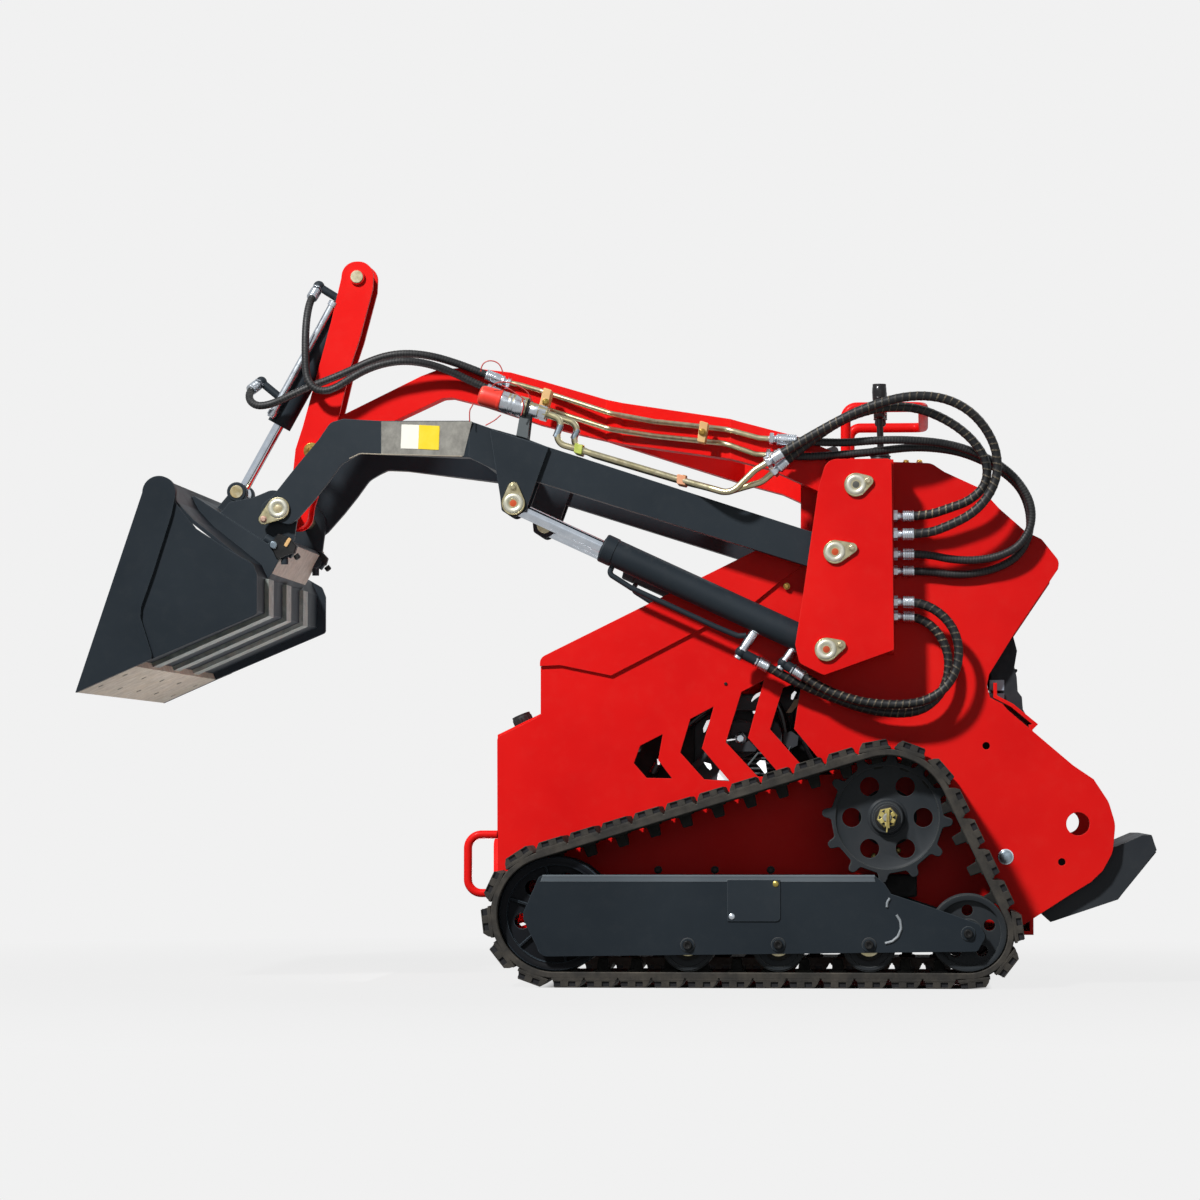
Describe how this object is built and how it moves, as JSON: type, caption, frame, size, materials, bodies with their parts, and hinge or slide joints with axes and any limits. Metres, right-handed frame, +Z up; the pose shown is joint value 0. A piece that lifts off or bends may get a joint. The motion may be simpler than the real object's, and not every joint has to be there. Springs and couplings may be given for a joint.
{
  "type": "stand-on mini track loader",
  "caption": "Stand-on mini track loader: rubber tracks on triangular drives, steel chassis, raised lift arms with a parallel link, hydraulic cylinders and a general-purpose bucket.",
  "frame": {"origin": "middle of the bounding box's footprint, on the ground under the tracks", "axes": "+X towards the rear and the operator's platform, +Y towards the machine's right side, +Z up; the bucket is at -X"},
  "size_m": [2.314, 1.06, 1.613],
  "materials": {
    "red_paint": "glossy red powder coat",
    "dark_paint": "satin anthracite powder coat",
    "track_rubber": "dull black rubber with dust in the tread",
    "hose_rubber": "black hydraulic hose with spiral guard",
    "zinc_steel": "zinc plated with a light yellow passivation",
    "chrome_rod": "hard chrome, polished",
    "black_plastic": "matt black moulded plastic and coated tube",
    "worn_steel": "bare wear steel, dusty and lightly scratched",
    "cast_block": "rough casting, hidden"
  },
  "bodies": {
    "chassis": {"track_left": "track_rubber", "track_right": "track_rubber", "front_idlers": "dark_paint", "track_rollers": "dark_paint", "drive_sprockets": "dark_paint", "drive_motors": "dark_paint", "track_frame_left": "dark_paint", "track_frame_right": "dark_paint", "side_plate_left": "red_paint", "side_plate_right": "red_paint", "belly_plate": "red_paint", "nose_cover": "red_paint", "hood": "red_paint", "console_cover": "red_paint", "engine_block": "cast_block", "rear_pad": "black_plastic", "filler_cap": "black_plastic", "tie_down_loops": "red_paint", "tower_left": "red_paint", "tower_right": "red_paint", "tower_pins": "zinc_steel", "hand_rails": "red_paint", "control_levers": "black_plastic", "hose_fittings": "zinc_steel", "platform_hinge": "zinc_steel", "aux_hose_outer": "hose_rubber", "aux_hose_inner": "hose_rubber", "link_hose_upper": "hose_rubber", "link_hose_lower": "hose_rubber", "lift_hose_inner_left": "hose_rubber", "lift_hose_inner_right": "hose_rubber", "lift_hose_outer_left": "hose_rubber", "lift_hose_outer_right": "hose_rubber"},
    "boom": {"boom_arm_left": "dark_paint", "boom_arm_right": "dark_paint", "boom_cross_tube": "dark_paint", "boom_pins": "zinc_steel", "boom_pipes": "zinc_steel"},
    "level_link": {"link_front": "red_paint", "link_arm_left": "red_paint", "link_arm_right": "red_paint", "link_pipes": "zinc_steel", "tilt_hose_upper": "hose_rubber", "tilt_hose_lower": "hose_rubber"},
    "lever": {"lever": "red_paint"},
    "bucket": {"quick_attach": "dark_paint", "bucket_shell": "dark_paint", "bucket_sides": "dark_paint", "cutting_edge": "worn_steel", "wear_straps": "worn_steel"},
    "tilt_barrel": {"tilt_barrel": "dark_paint"},
    "tilt_rod": {"tilt_rod": "chrome_rod"},
    "lift_barrel_left": {"lift_barrel_left": "dark_paint"},
    "lift_rod_left": {"lift_rod_left": "chrome_rod"},
    "lift_barrel_right": {"lift_barrel_right": "dark_paint"},
    "lift_rod_right": {"lift_rod_right": "chrome_rod"},
    "platform": {"platform": "dark_paint"}
  },
  "joints": [
    {"name": "boom_lift", "type": "hinge", "parent": "chassis", "child": "boom", "pos_m": [0.469, 0, 0.928], "axis": [0, 1, 0], "range_deg": [-39, 46], "deforming": ["aux_hose_outer", "aux_hose_inner"]},
    {"name": "link_swing", "type": "hinge", "parent": "chassis", "child": "level_link", "pos_m": [0.514, 0, 1.072], "axis": [0, 1, 0], "range_deg": [-39, 46], "deforming": ["link_hose_upper", "link_hose_lower"]},
    {"name": "lever_swing", "type": "hinge", "parent": "level_link", "child": "lever", "pos_m": [-0.718, 0, 1.184], "axis": [0, 1, 0], "range_deg": [-46, 39], "deforming": ["tilt_hose_upper", "tilt_hose_lower"]},
    {"name": "bucket_tilt", "type": "hinge", "parent": "lever", "child": "bucket", "pos_m": [-0.763, 0, 1.04], "axis": [0, 1, 0], "range_deg": [-22, 50]},
    {"name": "tilt_barrel_swing", "type": "hinge", "parent": "lever", "child": "tilt_barrel", "pos_m": [-0.6165, 0, 1.5775], "axis": [0, 1, 0], "range_deg": [-3, 3]},
    {"name": "tilt_rod_slide", "type": "slide", "parent": "tilt_barrel", "child": "tilt_rod", "axis": [-0.4853, 0, -0.8744], "range_m": [-0.122, 0.056]},
    {"name": "platform_fold", "type": "hinge", "parent": "chassis", "child": "platform", "pos_m": [0.91, 0, 0.285], "axis": [0, -1, 0], "range_deg": [0, 75]},
    {"name": "lift_barrel_swing_left", "type": "hinge", "parent": "chassis", "child": "lift_barrel_left", "pos_m": [0.45, -0.373, 0.719], "axis": [0, 1, 0], "range_deg": [-36, 42], "deforming": ["lift_hose_inner_left", "lift_hose_outer_left"]},
    {"name": "lift_rod_slide_left", "type": "slide", "parent": "lift_barrel_left", "child": "lift_rod_left", "axis": [-0.9075, 0, 0.4202], "range_m": [-0.124, 0.146]},
    {"name": "lift_barrel_swing_right", "type": "hinge", "parent": "chassis", "child": "lift_barrel_right", "pos_m": [0.45, 0.373, 0.719], "axis": [0, 1, 0], "range_deg": [-36, 42], "deforming": ["lift_hose_inner_right", "lift_hose_outer_right"]},
    {"name": "lift_rod_slide_right", "type": "slide", "parent": "lift_barrel_right", "child": "lift_rod_right", "axis": [-0.9075, 0, 0.4202], "range_m": [-0.124, 0.146]}
  ],
  "couplings": [
    {"joint": "link_swing", "follows": "boom_lift", "ratio": 1},
    {"joint": "lever_swing", "follows": "boom_lift", "ratio": -1},
    {"joint": "tilt_barrel_swing", "follows": "bucket_tilt", "ratio": -0.01},
    {"joint": "tilt_rod_slide", "follows": "bucket_tilt", "m_per_rad": -0.13},
    {"joint": "lift_barrel_swing_left", "follows": "boom_lift", "ratio": 0.899},
    {"joint": "lift_rod_slide_left", "follows": "boom_lift", "m_per_rad": 0.175},
    {"joint": "lift_barrel_swing_right", "follows": "boom_lift", "ratio": 0.899},
    {"joint": "lift_rod_slide_right", "follows": "boom_lift", "m_per_rad": 0.175}
  ]
}
